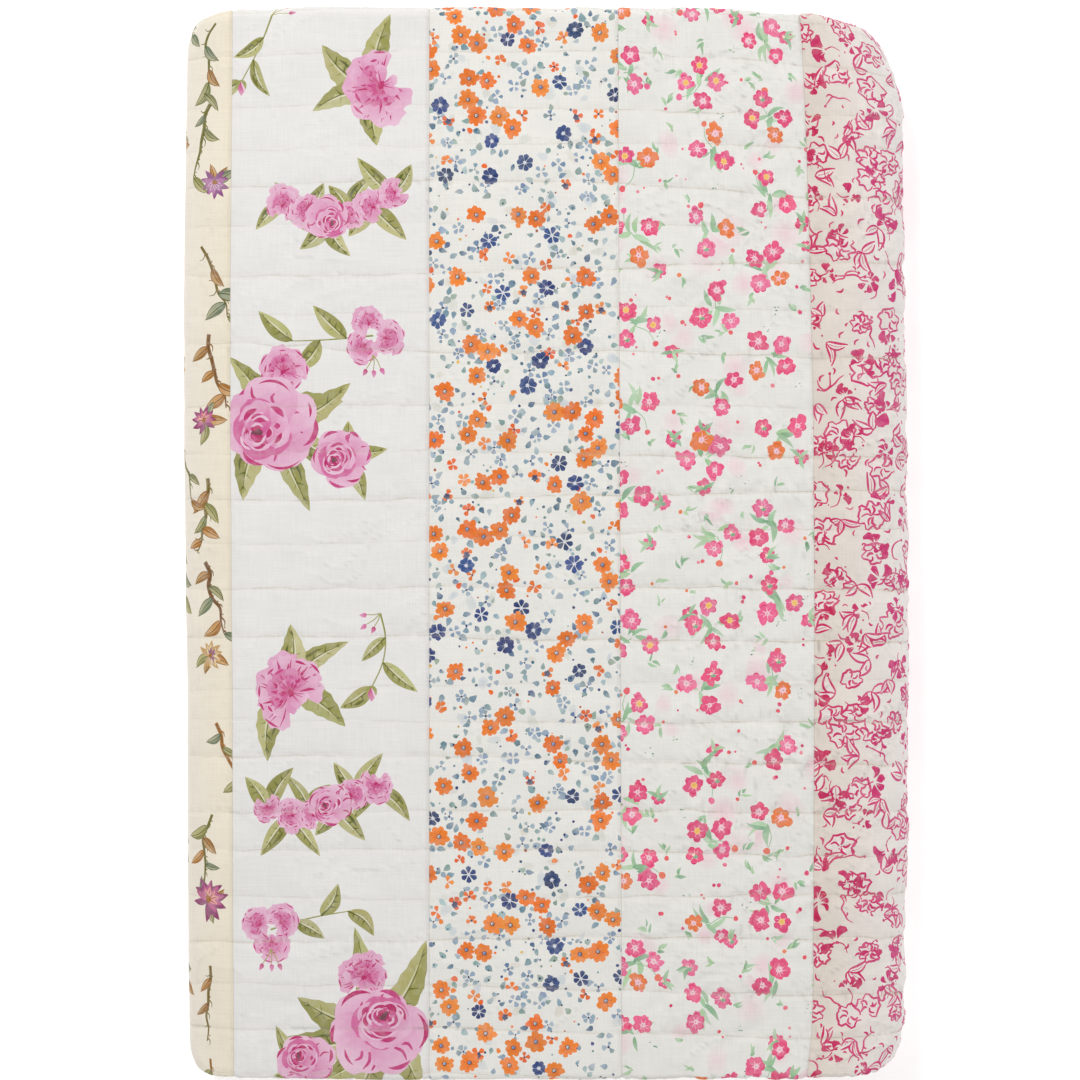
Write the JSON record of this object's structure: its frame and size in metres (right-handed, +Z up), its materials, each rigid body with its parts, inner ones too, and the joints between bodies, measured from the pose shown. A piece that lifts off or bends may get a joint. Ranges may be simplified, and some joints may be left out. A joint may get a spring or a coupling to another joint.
{
  "type": "patchwork_quilt_folded",
  "caption": "Folded patchwork quilt of printed cotton strips, quilted in wavy rows and halved both ways into a flat stack with soft rounded corners",
  "frame": {"origin": "middle of the folded stack's footprint, on its resting face", "axes": "+Z up, +Y along the folded stack, +X across it towards the wide spine fold"},
  "size_m": [0.4496, 0.6628, 0.0574],
  "materials": {
    "printed_cotton": "matte"
  },
  "bodies": {
    "root": {"quilt": "printed_cotton"}
  },
  "joints": []
}
